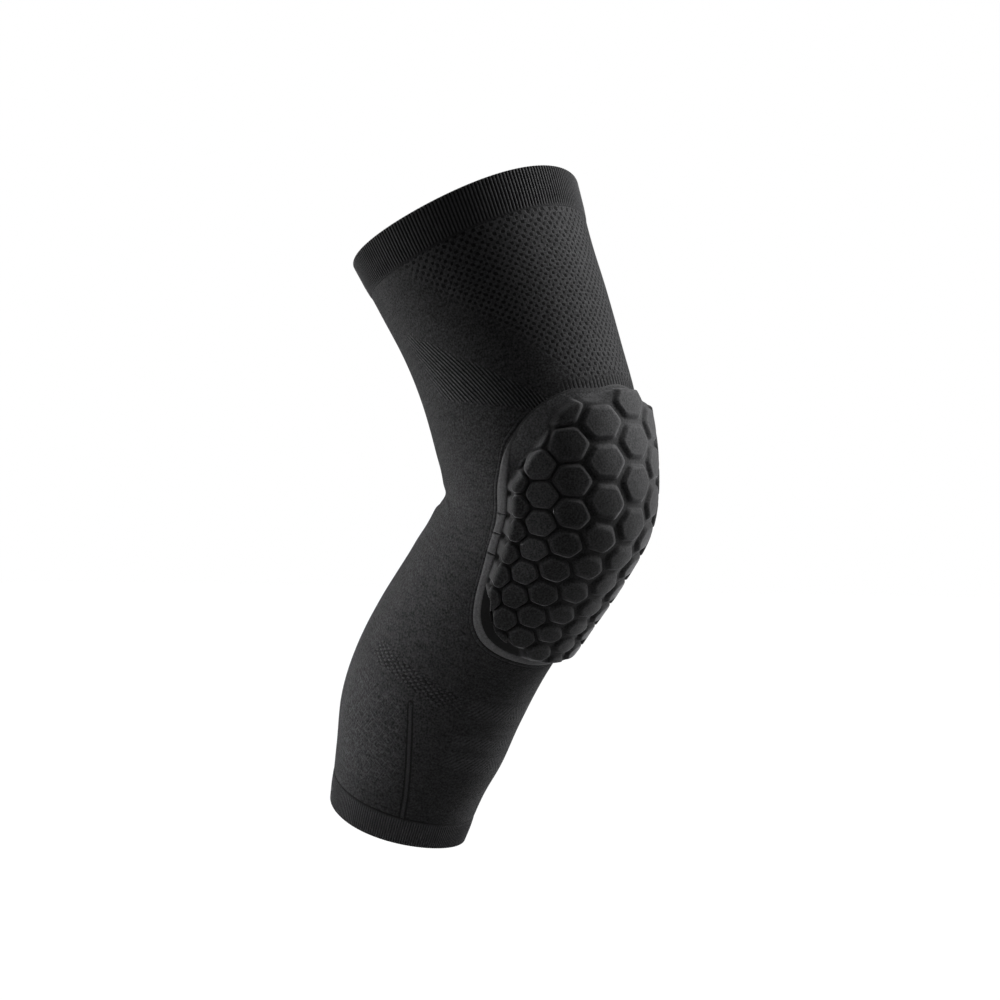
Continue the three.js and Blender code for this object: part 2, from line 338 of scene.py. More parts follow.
def outlineTable():  # direction from the top (towards +X) and reach of the pad's outline
    half = padPlan["outline"]
    whole = half + [(station, -spread) for station, spread in half[-2:0:-1]]
    closed = whole[-2:] + whole + whole[:3]
    places = 2 + np.linspace(0, len(whole), padPlan["outlineSteps"], endpoint=False)
    loop = curveThrough(closed, places)
    x, y = padChart(loop[:, 0], loop[:, 1])
    order = np.argsort(np.arctan2(x, -y))
    return np.arctan2(x, -y)[order], np.hypot(x, y)[order]


outlineDirections, outlineReaches = outlineTable()


def reachAt(direction):
    return np.interp(direction, outlineDirections, outlineReaches, period=2 * np.pi)


def padPlace(station, spread):  # degrees from the top, reach of the outline there, and share of that reach
    x, y = padChart(station, spread)
    direction = np.arctan2(x, -y)
    reach = reachAt(direction)
    return np.abs(np.degrees(direction)), reach, np.hypot(x, y) / reach


def foamEdge(turn):
    return table(turn, padPlan["foamEdge"])


# the knitted tube
sleeveTube = {
    "across": 200,          # facets round the tube and along it
    "along": 200,
    "gap": 0.05,            # mm between the tube and each cuff, and how far its lower end turns in
    "tuck": 0.3,
    "sharp": 60,            # edges that turn by more degrees stay crisp
    "folds": [  # at the back of the bend: station, half width and height in mm, reach in degrees
        (3.9, 7, 0.5, 34),
        (4.45, 5, -0.9, 35),
        (4.95, 5, 0.8, 36),
        (5.85, 3, -0.5, 34),
        (6.75, 3.2, -1.0, 36),
        (7.05, 4, 0.7, 36),
        (7.45, 5, -0.7, 35),
        (7.85, 6, 0.5, 34),
    ],
    "pinch": (6.07, 139, 6.7, 122, 1.7, 0.8),   # a fold at each side: its two ends, half width and height
    # zones of the knit, by station and by degrees to either side of the front; pairs are soft edges
    "dotEdge": [(0.8, 98), (1.38, 90), (1.95, 78), (2.5, 64), (3.0, 51), (3.33, 42), (3.78, 34)],
    "dotFade": (-6, 9),
    "dotEnd": (3.95, 4.1),
    "ribTop": [(48, 3.93), (51.5, 3.8), (61.5, 3.58), (68, 3.4), (74.5, 3.18), (84.5, 2.93), (92, 2.73),
               (100, 2.38), (107, 2.12), (118, 1.83), (140, 1.4)],
    "ribFoot": [(48, 3.95), (56.5, 4.08), (66, 3.98), (75.5, 3.85), (85, 3.73), (98.5, 3.53), (109.5, 3.35),
                (140, 2.8)],
    "ribBack": [(1.8, 119), (3.4, 109)],
    "ribFade": (0, 0.07),
    "ribBackFade": (-6, 4),
    "ribFront": 47,
    "shadedStations": (7.6, 9.2),    # painted shade: the front below the pad is darker
    "shadedSides": (45, 85),
    "frontShade": 0.36,
    "band": [(40, 9.61), (112, 9.45)],      # degrees and station of two places along the band of loops
    "bandEdge": (0.15, 0.2),
    "bandFront": (26, 60),
    "bandBack": (108, 114),
    "panelSeam": (4, 9),    # degrees behind the seam
    "panelTop": (9.8, 10.15),
    "panelFoot": (11.9, 12.3),
    "hatches": [(9.42, 9.8), (10.15, 10.47), (10.6, 11.06)],
    "hatchFade": 0.06,
    "hatchSides": (32, 40),
    "weldTurn": (36, 50),   # degrees from the top of the pad, for the weld line and for the loops above it
    "loopTurn": (24, 34),
    "loopGap": (4, 8),      # mm from the foam
    "loopEnd": 5,
    "seam": [(9.93, 70), (10.35, 65), (11.35, 57), (12.12, 52), (12.6, 50)],
    # patterns of the knit: repeats for each degree and for each station
    "dotPitch": (0.217, 6.6),
    "loopPitch": 0.37,
    "ribPitch": (0.48, 6.9),
    "bandPitches": [(-0.241, 11.1), (0.147, 10.1)],
    "strokePitches": [(-0.92, 12), (0.4, 27.6)],
    "hatchPitch": (-0.283, 8.75),
    "wales": 392,           # stitches round the tube and along it
    "courses": 440,
    "flat": (0.345, 0.365),  # relaxed cut, metres
}


def foldHeights(station, angle):
    fromBack = 180 - np.abs(np.degrees(angle))
    length = lengthAt(station, angle)
    height = np.zeros_like(station)
    for place, halfWidth, rise, reach in sleeveTube["folds"]:
        fade = fall(fromBack, reach * 0.4, reach)
        height += rise * fade * np.exp(-((station - place) * length / halfWidth) ** 2)
    start, wide, end, narrow, halfWidth, rise = sleeveTube["pinch"]
    along = (wide - np.abs(np.degrees(angle))) / (wide - narrow)
    gap = (station - start - (end - start) * along) * length
    fade = smooth(along, -0.08, 0.15) * fall(along, 0.6, 1.1)
    return height + rise * fade * np.exp(-(gap / halfWidth) ** 2)


def seamAngle(station):  # degrees from the front, to either side
    return table(station, sleeveTube["seam"])


def makeTube():
    plan = sleeveTube
    tube = addGrid("sleeveTube", plan["across"], plan["along"])
    flat = corners(tube)
    down = 0.5 - flat[:, 1]
    angle = 2 * np.pi * flat[:, 0]
    top = legForm["thighCuff"] + plan["gap"]
    bottom = calfRim - legForm["calfCuff"] - plan["gap"]
    dip = legForm["thighDip"] + (legForm["calfDip"] - legForm["thighDip"]) * down
    station = stationAt(top + (bottom - top) * down, dip, angle)
    tucked = plan["tuck"] * (down > 0.999)      # the last row only
    setCorners(tube, onLeg(station, angle, foldHeights(station, angle) - tucked))
    paintZones(tube, station, np.degrees(angle))
    weld(tube)              # closes the tube along the back
    modify(tube, "SOLIDIFY", thickness=legForm["wall"] * mm, offset=-1.0, use_rim=True)
    smoothShade(tube)
    sharpen(tube, plan["sharp"])
    return tube


def paintZones(tube, station, spread):
    plan = sleeveTube
    side = np.abs(spread)
    paint(tube, "side", side)
    paint(tube, "place", station)

    dotLimit = table(station, plan["dotEdge"])
    paint(tube, "dotZone", smooth(dotLimit - side, *plan["dotFade"]) * fall(station, *plan["dotEnd"]))

    ribs = (smooth(station - table(side, plan["ribTop"]), *plan["ribFade"])
            * smooth(table(side, plan["ribFoot"]) - station, *plan["ribFade"]))
    ribs = ribs * smooth(table(station, plan["ribBack"]) - side, *plan["ribBackFade"])
    paint(tube, "ribZone", ribs * (side > plan["ribFront"]))

    # painted shade, darker on the front below the pad
    shadedFront = smooth(station, *plan["shadedStations"]) * fall(side, *plan["shadedSides"])
    paint(tube, "drawn", shadedFront * plan["frontShade"])

    (firstSide, firstStation), (lastSide, lastStation) = plan["band"]
    bandSlope = (lastStation - firstStation) / (lastSide - firstSide)
    bandMiddle = firstStation + bandSlope * (side - firstSide)
    band = fall(np.abs(station - bandMiddle), *plan["bandEdge"])
    paint(tube, "bandZone", band * smooth(side, *plan["bandFront"]) * fall(side, *plan["bandBack"]))

    behindSeam = smooth(side - seamAngle(station), *plan["panelSeam"])
    panel = smooth(station, *plan["panelTop"]) * fall(station, *plan["panelFoot"])
    paint(tube, "panelZone", behindSeam * panel)
    seamGap = np.radians(side - seamAngle(station)) * girthAt(station, np.radians(side))
    overTop = np.maximum(calfSeam["start"] - station, 0) * lengthAt(station, np.radians(side))
    paint(tube, "seamGap", np.hypot(seamGap, overTop))

    soft = plan["hatchFade"]
    hatch = sum(smooth(station, start, start + soft) * fall(station, end - soft, end)
                for start, end in plan["hatches"])
    paint(tube, "hatchZone", hatch * fall(side, *plan["hatchSides"]))

    turn, reach, share = padPlace(station, spread)
    paint(tube, "padGap", (share - 1) * reach)
    paint(tube, "weldZone", smooth(turn, *plan["weldTurn"]))
    foamGap = (share - foamEdge(turn)) * reach
    loops = fall(foamGap, *plan["loopGap"]) * fall(turn, *plan["loopTurn"])
    paint(tube, "loopZone", loops * (station < plan["loopEnd"]))


def knitFinish():
    plan = sleeveTube
    material, sheet = startFinish("sleeveKnit")
    uv = sheet.node("ShaderNodeSeparateXYZ", None, {0: sheet.node("ShaderNodeUVMap")})
    side, place = attribute(sheet, "side"), attribute(sheet, "place")

    def slanted(perDegree, perStation):  # a count of repeats that runs over the tube at a slant
        return side * perDegree + place * perStation

    def streaks(across, along, detail):  # noise that is drawn out one way
        chart = sheet.node("ShaderNodeCombineXYZ", None, {0: across, 1: along})
        return sheet.node("ShaderNodeTexNoise", None, {"Vector": chart, "Scale": 1.0, "Detail": detail})

    knit = stitches(uv * plan["wales"], uv.also(1) * plan["courses"])
    fuzz = grain(sheet, 850, 4.0) - 0.5
    cloud = grain(sheet, 22, 2.0) - 0.5
    sway = grain(sheet, 240, 1.0) - 0.5
    courses = streaks(side * 0.08, place * 14, 2.0) - 0.5

    dotZone = attribute(sheet, "dotZone")
    perDegree, perStation = plan["dotPitch"]
    dots = (side * perDegree + sway * 0.45).swing() * (place * perStation - sway * 0.35).swing()
    dots = dots.step(0.08, 0.54) * dotZone
    loopZone = attribute(sheet, "loopZone")
    padLoops = (side * plan["loopPitch"] + sway * 0.3).wave().step(0.35, 0.75)
    dots = dots * (1 - loopZone) + loopZone * padLoops

    ribZone = attribute(sheet, "ribZone")
    ribs = slanted(*plan["ribPitch"]).wave()

    bandZone = attribute(sheet, "bandZone")
    crossed = [slanted(*pitch).swing() for pitch in plan["bandPitches"]]
    loops = (crossed[0] + crossed[1]).step(0.0, 1.5)

    panel = attribute(sheet, "panelZone")
    slants = [slanted(*pitch) for pitch in plan["strokePitches"]]
    strokes = [streaks(first * 0.2, second * 1.15, 0.0) for first, second in (slants, slants[::-1])]
    stroke = panel.math("MAXIMUM", *strokes).step(0.58, 0.7) * panel

    hatch = slanted(*plan["hatchPitch"]).wave() * attribute(sheet, "hatchZone")

    padGap = attribute(sheet, "padGap")
    weldZone = attribute(sheet, "weldZone")
    # painted shade at the flange's foot and in a pressed groove, painted highlight on the pressed ridge
    # between
    weldGrooveShade = padGap.math("MAXIMUM", padGap.line(0.2, 0.8), padGap.line(2.6, 0.5) * 0.7) * weldZone
    weldRidgeHighlight = padGap.line(1.7, 0.8) * weldZone
    # painted shade on the knit along the seam's edges
    seamFootShade = attribute(sheet, "seamGap").line(1.75, 0.75)

    tone = 0.42 + (knit - 0.5) * 0.2 + fuzz * 2.1 + cloud * 0.12 + courses * 0.6
    tone = (tone + dotZone * 0.23) * (1 - dots * 0.95)
    # painted shade in the ribs' hollows and painted highlight on their ridges
    tone = tone * (1 - ribZone * (1 - ribs ** 3 * 4.2))
    tone = tone + bandZone * (loops * 0.6 - 0.18) + stroke * 0.4 + panel * 0.01 + hatch * 0.45
    tone = tone * (1 - weldGrooveShade * 0.7) * (1 - seamFootShade * 0.8) + weldRidgeHighlight * 0.16
    # painted shade on the front below the pad
    tone = tone * (1 - attribute(sheet, "drawn"))

    height = knit * 0.08 + fuzz * 0.36 + courses * 0.3 - dots * 0.45
    height = height + ribZone * ribs * 0.7 + bandZone * loops * 0.4 + stroke * 0.12 + hatch * 0.14
    height = height - weldGrooveShade * 0.2 + weldRidgeHighlight * 0.15 - seamFootShade * 0.25
    closeFinish(sheet, tone, blackYarn["light"], 0.9, height, knitSheen)
    return material


# the two ribbed cuffs
cuffs = {
    # ribShading sets how strongly each cuff's ribs are painted with shade in their valleys and highlight on
    # their ridges
    "thighCuff": {"node": "thigh_cuff", "start": 0.0, "end": legForm["thighCuff"],
                  "tubeEdge": legForm["thighCuff"], "dip": legForm["thighDip"], "ribs": 200,
                  "ribHeight": 0.65, "ribShading": 1.0, "tubeEdgeShade": 0.1, "flat": (0.44, 0.026)},
    "calfCuff": {"node": "calf_cuff", "start": calfRim - legForm["calfCuff"], "end": calfRim,
                 "tubeEdge": calfRim - legForm["calfCuff"], "dip": legForm["calfDip"], "ribs": 183,
                 "ribHeight": 0.35, "ribShading": 0.6, "tubeEdgeShade": 0.85, "flat": (0.265, 0.019)},
    "ribFacets": 8,
    "outerRows": 14,
    "innerRows": 4,
    "edgeRows": 5,
    "inner": -2.2,          # lift of the inner face off the tube's outer face, mm
    "outer": 0.5,           # lift of the outer face by the rim, and where it meets the tube
    "seam": 0.12,
    "taper": 9,             # mm between the two
    "ribFade": (0.3, 2.4),  # mm from the tube over which the ribs grow
    "ribOnRim": 0.3,        # share of a rib that is left at the middle of the rim
    "ribPower": 1.5,        # narrows the ribs, and the share of a rib below the face
    "ribSink": 0.55,
    "edgeFade": (0.6, 1.6),     # mm from the tube over which its painted shade line ends
    "rimRound": 1.2,        # rounding of the free rim and of the edge that meets the tube
    "tubeRound": 0.4,
}


def cuffProfile(cuff):  # closed loop of distance, lift and rib strength, up the outside and down the inside
    inner, onRim = cuffs["inner"], cuffs["ribOnRim"]
    start, end, tubeEdge = cuff["start"], cuff["end"], cuff["tubeEdge"]
    rounds = {edge: cuffs["tubeRound"] if edge == tubeEdge else cuffs["rimRound"] for edge in (start, end)}

    def outside(distance):
        fromTube = abs(distance - tubeEdge)
        rise = float(smooth(fromTube, 0, cuffs["taper"]))
        strength = float(smooth(fromTube, *cuffs["ribFade"]))
        return cuffs["seam"] + (cuffs["outer"] - cuffs["seam"]) * rise, strength

    loop = []
    first, last = end - rounds[end], start + rounds[start]
    for t in np.linspace(0, 1, cuffs["outerRows"], endpoint=False):
        loop.append((first + (last - first) * t, *outside(first + (last - first) * t)))
    for edge, sign in ((start, 1), (end, -1)):
        roundness = rounds[edge]
        outer, strength = outside(edge)
        turns = np.linspace(0, np.pi / 2, cuffs["edgeRows"])
        over = [(edge + sign * roundness * (1 - np.sin(a)), outer - roundness * (1 - np.cos(a)),
                 strength * (np.cos(a) * (1 - onRim) + onRim)) for a in turns]
        under = [(edge + sign * roundness * (1 - np.cos(a)), inner + roundness * (1 - np.sin(a)),
                  strength * onRim * np.cos(a)) for a in turns]
        if sign > 0:
            loop += over + under
            for t in np.linspace(0, 1, cuffs["innerRows"] + 1, endpoint=False)[1:]:
                loop.append((last + (first - last) * t, inner, 0.0))
        else:
            loop += under[::-1] + over[::-1]
    return np.array(loop[:-1] + loop[:1])


def makeCuff(name):
    cuff = cuffs[name]
    profile = cuffProfile(cuff)
    piece = addGrid(name, cuffs["ribFacets"], len(profile) - 1)      # one rib, cut flat
    modify(piece, "ARRAY", count=cuff["ribs"], relative_offset_displace=(1, 0, 0), use_merge_vertices=True,
           merge_threshold=1e-5)
    flat = corners(piece)
    run = flat[:, 0] + 0.5
    row = np.rint((flat[:, 1] + 0.5) * (len(profile) - 1)).astype(int)
    distance, lift, ribbed = profile[row].T
    rib = np.abs(np.sin(np.pi * run)) ** cuffs["ribPower"]
    angle = 2 * np.pi * run / cuff["ribs"] + np.pi
    station = stationAt(distance, cuff["dip"], angle)
    setCorners(piece, onLeg(station, angle, lift + ribbed * cuff["ribHeight"] * (rib - cuffs["ribSink"])))
    # painted shade in each rib's valley and painted highlight on its ridge
    paint(piece, "valleyShade", (1 - rib) * ribbed)
    paint(piece, "ridgeHighlight", rib * ribbed)
    paint(piece, "ribShading", np.full(len(rib), cuff["ribShading"]))
    paint(piece, "down", distance)
    fromTube = np.abs(distance - cuff["tubeEdge"])
    paint(piece, "tubeEdgeShade", cuff["tubeEdgeShade"] * fall(fromTube, *cuffs["edgeFade"]))
    weld(piece)
    smoothShade(piece)
    return piece


def cuffFinish():
    material, sheet = startFinish("cuffKnit")
    across = sheet.node("ShaderNodeSeparateXYZ", None, {0: sheet.node("ShaderNodeUVMap")})
    # painted shade in the rib valleys, painted highlight on the ridges
    ribShading = attribute(sheet, "ribShading")
    valleyShade = attribute(sheet, "valleyShade").step(0.2, 0.85) * ribShading
    ridgeHighlight = attribute(sheet, "ridgeHighlight").step(0.3, 0.9) * ribShading
    knit = stitches(across * 2, attribute(sheet, "down") * 1.1)
    fuzz = grain(sheet, 1000, 4.0) - 0.5
    tone = (0.46 + (knit - 0.5) * 0.15 + fuzz * 0.8) * (1 + ridgeHighlight * 1.5 - valleyShade * 0.95)
    # painted shade where the cuff meets the tube
    tone = tone * (1 - attribute(sheet, "tubeEdgeShade"))
    height = knit * 0.08 + fuzz * 0.06
    closeFinish(sheet, tone, blackYarn["light"], 0.9, height, knitSheen)
    return material


# the foam knee pad
kneePad = {
    "columns": 5,           # hexagon columns to each side of the middle one
    "rows": 11,
    "lastCells": 4.3,       # cells past this column run on to the flange
    "cuts": 13,             # cuts of a cell from its middle to a corner
    "rings": [(0, 0), (0.4, 0.64), (1, 1)],     # moves the cuts towards a cell's rim
    "topRow": 4.12,         # station of the top row, the step between rows and how rows shrink
    "rowStep": 0.575,
    "rowShrink": 0.011,
    "columnReach": 90,      # columns close up round the sides by a sine
    "columnStep": 15,
    "columnTaper": 0.0037,
    "sag": 0.2,             # how far the pad's middle rows sag in its middle columns
    "sagColumns": 1.6,
    "sagStart": (1.2, 3.4),
    "sagEnd": (5, 9),
    "back": 0.4,            # lifts off the knit, mm: the foam's back, its outer edge, its web and its crowns
    "edge": 0.35,
    "web": 1.5,
    "crown": 8.3,
    "rise": [  # degrees from the top of the pad, and the mm over which the foam rises to its full height
        (0, 3.5), (6, 3.5), (10, 5), (20, 7), (55, 7), (66, 11), (75, 12), (104, 12), (116, 9), (130, 6.5),
        (160, 6), (170, 5), (180, 5),
    ],
    "strip": [  # the same, and the mm of flat strip before it
        (6, 0), (16, 2), (28, 3), (36, 5), (44, 11.5), (54, 12.5), (60, 9), (67, 4), (72, 0),
    ],
    "margin": [  # the same, and the mm of flat web before the cells; below zero they run into an apron
        (0, 0.3), (5, 0.3), (13, -8), (113, -8), (127, 6), (150, 6), (158, 5), (168, -8), (180, -8),
    ],
    "grooves": [  # column, half width of a groove's floor, width of a cell's side, depth (mm), painted shade in the groove
        (0, 1.3, 2.8, 1.8, 0.2), (1, 1.2, 2.7, 1.9, 0.25), (2, 0.4, 1.9, 2.2, 0.5),
        (3, 0.3, 1.4, 2.4, 0.75), (5, 0.3, 1.2, 2.4, 0.85),
    ],
    "flankTop": (54, 64),   # soft limits of the pad's sides, foot and upper part, degrees from its top
    "flankFoot": (110, 122),
    "footTurn": (158, 168),
    "upperTurn": (60, 72),
    "apronMargin": (-6, -1),
    "steepness": 1.8,       # how roundly the foam rises, and how far its sides rise in an S instead
    "flankEase": 0.7,
    "stripEase": (0, 4),    # mm of strip over which its rise turns into an S too
    "stripFade": (0, 5),    # mm over which grooves deepen from the strip, from the foot and past the margin
    "footFade": (2, 7),
    "marginFade": (0, 4),
    "flankSink": 0.9,       # mm by which the web lies lower at the sides
    "shrink": 0.25,         # share by which grooves narrow in the lower rows
    "shrinkRows": (4, 8),
    "pillow": 1.7,          # how roundly a cell's side rises
    "round": 1.3,           # rounding of a hexagon's corners, less is rounder
    "dome": 0.4,
    "lip": 0.12,            # fine raised rim round a crown, and its half width
    "lipWidth": 0.6,
    "wholeCell": 2,         # cells whose middle is nearer to the edge, in mm, aren't raised
    "light": (0.082, 0.082, 0.085),
}


def gridPlace(column, row):  # station and spread of a place on the hexagon grid
    plan = kneePad
    middle = smooth(row, *plan["sagStart"]) * fall(row, *plan["sagEnd"])
    sag = plan["sag"] * np.exp(-(column / plan["sagColumns"]) ** 2) * middle
    station = plan["topRow"] + plan["rowStep"] * row - plan["rowShrink"] * row**2 + sag
    closing = plan["columnReach"] * np.sin(np.radians(plan["columnStep"] * column))
    return station, closing * (1 - plan["columnTaper"] * row**2)


def hexagonCell():  # one cell in grid units: a fan, cut fine, with more rings near its rim
    bpy.ops.object.select_all(action="DESELECT")
    bpy.ops.mesh.primitive_circle_add(vertices=6, radius=2 / 3, fill_type="TRIFAN",
                                      rotation=(0, 0, math.pi / 2))
    bpy.ops.object.transform_apply(location=False, rotation=True, scale=False)
    cell = named("kneePad")
    bpy.ops.object.mode_set(mode="EDIT")
    bpy.ops.mesh.select_all(action="SELECT")
    bpy.ops.mesh.subdivide(number_cuts=kneePad["cuts"])
    bpy.ops.transform.resize(value=(1, math.sqrt(3) / 2, 1))
    bpy.ops.object.mode_set(mode="OBJECT")
    flat = corners(cell)
    ring = hexagonRing(flat[:, 0], flat[:, 1])
    flat[:, :2] *= (table(ring, kneePad["rings"]) / np.maximum(ring, 1e-6))[:, None]
    setCorners(cell, flat)
    return cell


def hexagonRing(across, down):  # 0 in the middle of a cell, 1 on its rim
    return np.maximum(2 * np.abs(down), 1.5 * np.abs(across) + np.abs(down))


def cellField():  # the whole honeycomb, flat, in grid units
    columns, rows = kneePad["columns"], kneePad["rows"]
    even = hexagonCell()
    makeActive(even)
    bpy.ops.object.duplicate()
    odd = bpy.context.object
    for cells, first, top, count in ((even, 1 - columns, -1, columns), (odd, -columns, -0.5, columns + 1)):
        modify(cells, "ARRAY", count=count, use_relative_offset=False, use_constant_offset=True,
               constant_offset_displace=(2, 0, 0))
        modify(cells, "ARRAY", count=rows, use_relative_offset=False, use_constant_offset=True,
               constant_offset_displace=(0, 1, 0))
        setCorners(cells, corners(cells) + (first, top, 0))
    makeActive(even)
    odd.select_set(True)
    bpy.ops.object.join()
    weld(even, distance=1e-4)
    return even


def keepInside(field):  # trims the honeycomb to the foam's edge
    flat = corners(field)
    station, spread = gridPlace(flat[:, 0], flat[:, 1])
    turn, _, share = padPlace(station, spread)
    makeActive(field)
    bpy.ops.object.mode_set(mode="EDIT")
    bpy.ops.mesh.select_mode(type="VERT")
    bpy.ops.mesh.select_all(action="DESELECT")
    bpy.ops.object.mode_set(mode="OBJECT")
    field.data.vertices.foreach_set("select", share > foamEdge(turn))
    bpy.ops.object.mode_set(mode="EDIT")
    bpy.ops.mesh.delete(type="FACE")
    bpy.ops.object.mode_set(mode="OBJECT")


def cellDistance(column, row):  # mm from the nearest rim, share from the middle, and whether a cell is whole
    plan = kneePad
    column = np.clip(column, -plan["lastCells"], plan["lastCells"])
    evenColumn, evenRow = 2 * np.rint(column / 2), np.rint(row)
    oddColumn, oddRow = 2 * np.rint((column - 1) / 2) + 1, np.rint(row + 0.5) - 0.5
    evenRing = hexagonRing(column - evenColumn, row - evenRow)
    isEven = evenRing <= hexagonRing(column - oddColumn, row - oddRow)
    cellColumn, cellRow = np.where(isEven, evenColumn, oddColumn), np.where(isEven, evenRow, oddRow)
    across, down = np.abs(column - cellColumn), np.abs(row - cellRow)

    def lengthOf(columnNudge, rowNudge):  # mm for one column or one row
        ends = []
        for sign in (1, -1):
            station, spread = gridPlace(column + sign * columnNudge, row + sign * rowNudge)
            ends.append(legPoint(station, np.radians(spread)))
        return np.linalg.norm(ends[0] - ends[1], axis=-1) / (2 * (columnNudge + rowNudge))

    nudge = 0.01
    columnLength, rowLength = lengthOf(nudge, 0), lengthOf(0, nudge)
    steep = np.hypot(1.5 / columnLength, 1 / rowLength)
    sides = [(0.5 - down) * rowLength, (1 - 1.5 * across - down) / steep, (1 - 1.5 * across + down) / steep]
    rim = -np.log(sum(np.exp(-plan["round"] * side) for side in sides)) / plan["round"]
    turn, reach, share = padPlace(*gridPlace(cellColumn, cellRow))
    whole = (foamEdge(turn) - share) * reach > plan["wholeCell"]
    return np.maximum(rim, 0), np.minimum(hexagonRing(across, down), 1), whole


def makePad():
    plan = kneePad
    pad = cellField()
    keepInside(pad)
    flat = corners(pad)
    column, row = flat[:, 0], flat[:, 1]
    station, spread = gridPlace(column, row)
    turn, reach, share = padPlace(station, spread)
    edge = foamEdge(turn)
    drawn = np.minimum(edge / np.maximum(share, 1e-6), 1)     # the last corners go onto the edge
    station = padPlan["middle"] + (station - padPlan["middle"]) * drawn
    spread = spread * drawn
    inside = (edge - share * drawn) * reach                   # mm inside the foam's edge

    # parts of the pad, each from 0 to 1
    strip = table(turn, plan["strip"])
    margin = table(turn, plan["margin"])
    flank = smooth(turn, *plan["flankTop"]) * fall(turn, *plan["flankFoot"])
    foot = smooth(turn, *plan["footTurn"])
    apron = fall(margin, *plan["apronMargin"])
    upper = apron * fall(turn, *plan["upperTurn"])

    # height of the foam before the grooves
    climb = np.clip((inside - strip) / table(turn, plan["rise"]), 0, 1)
    steep = 1 - (1 - climb) ** plan["steepness"]
    eased = np.maximum(smooth(strip, *plan["stripEase"]), flank * plan["flankEase"])
    climb = steep + (smooth(climb, 0, 1) - steep) * eased
    top = plan["edge"] + (plan["crown"] - plan["edge"]) * climb

    # depth of the grooves, which fade out on the strip and at the foot
    columns, *values = zip(*plan["grooves"])
    narrow, bevel, depth, shadeInGroove = (np.interp(np.abs(column), columns, value) for value in values)
    depth = depth * (1 - upper * fall(inside - strip, *plan["stripFade"]))
    depth = depth * (1 - foot * fall(inside, *plan["footFade"]))
    deep = np.maximum(top - plan["web"] - depth, 0)
    depth = depth + deep * (1 - apron) * fall(inside - margin, *plan["marginFade"])
    floor = np.maximum(top - depth, np.minimum(plan["web"] - plan["flankSink"] * flank, top))

    # the cells between them
    rim, ring, whole = cellDistance(column, row)
    shrink = 1 - plan["shrink"] * smooth(row, *plan["shrinkRows"])
    narrow, bevel = narrow * shrink, bevel * shrink
    near = np.minimum(rim, np.maximum(inside - margin, 0)) * whole
    t = np.clip((near - narrow) / bevel, 0, 1)
    pillow = (1 - (1 - t) ** plan["pillow"]) * smooth(t, -0.3, 0.3)
    fromCrown = near - narrow - bevel
    lip = plan["lip"] * np.exp(-(fromCrown / plan["lipWidth"]) ** 2)
    lift = floor + (top - floor) * pillow + (plan["dome"] * (1 - ring**2) + lip) * pillow

    # painted shade in the grooves, beside the flange and on the outer flanks; painted highlight on the
    # crowns' rims; painted light on side and upper cells, and a paler flat strip
    relief = smooth(top - floor, 0.3 - 0.2 * flank, 2 - 1.2 * flank)
    shadeBesideFlange = smooth(margin - inside, -2.5, 0.2) * (1 - apron) * 0.85
    paint(pad, "groove", np.maximum((1 - pillow) * relief * shadeInGroove, shadeBesideFlange))
    # painted shade on the outer flanks of the side cells
    paint(pad, "flankShade", flank * 0.6 * fall(inside, 6, 12))
    # painted highlight along each crown's rim
    paint(pad, "shoulder", np.exp(-(fromCrown / 0.7) ** 2) * relief)
    fromMiddle = np.abs(column)
    onStrip = smooth(strip, 0, 5) * fall(inside - strip, -1, 3)
    # painted light on the side cells and the upper middle cells; the flat strip is paler
    litSides = 0.45 * smooth(fromMiddle, 2.1, 2.9) * fall(fromMiddle, 3.3, 3.7) * fall(row, 4.5, 7)
    litTop = 0.4 * fall(fromMiddle, 0.7, 1.8) * fall(row, 1.2, 2.6)
    paint(pad, "paleAndLit", np.maximum(onStrip, litSides + litTop))

    angle = np.radians(spread)
    setCorners(pad, onLeg(station, angle, lift))
    closeBack(pad, station, angle)
    smoothShade(pad)
    return pad


def closeBack(pad, station, angle):  # a copy of the face laid on the knit, and a wall between their edges
    makeActive(pad)
    bpy.ops.object.mode_set(mode="EDIT")
    bpy.ops.mesh.select_all(action="SELECT")
    bpy.ops.mesh.extrude_region_move()
    bpy.ops.object.mode_set(mode="OBJECT")
    places = corners(pad)
    places[:len(station)] = onLeg(station, angle, kneePad["back"])
    setCorners(pad, places)
    bpy.ops.object.mode_set(mode="EDIT")
    bpy.ops.mesh.select_all(action="SELECT")
    bpy.ops.mesh.normals_make_consistent(inside=False)
    bpy.ops.object.mode_set(mode="OBJECT")


def foamFinish():
    material, sheet = startFinish("padFoam")
    paleAndLit = attribute(sheet, "paleAndLit")
    weave = grain(sheet, 900, 4.0) - 0.5
    cloud = grain(sheet, 30, 3.0) - 0.5
    # the paler strip and painted light on side and upper cells raise the tone
    tone = 0.13 + weave * (0.75 + paleAndLit * 1.2) + cloud * 0.1
    # painted highlight on each crown's rim
    tone = tone + attribute(sheet, "shoulder") * 0.12 + paleAndLit * 0.54
    # painted shade in the grooves, beside the flange and on the outer flanks
    tone = tone * (1 - attribute(sheet, "groove")) * (1 - attribute(sheet, "flankShade"))
    height = weave * 0.13 + cloud * 0.08
    closeFinish(sheet, tone, kneePad["light"], 0.82, height, smoothSheen)
    return material


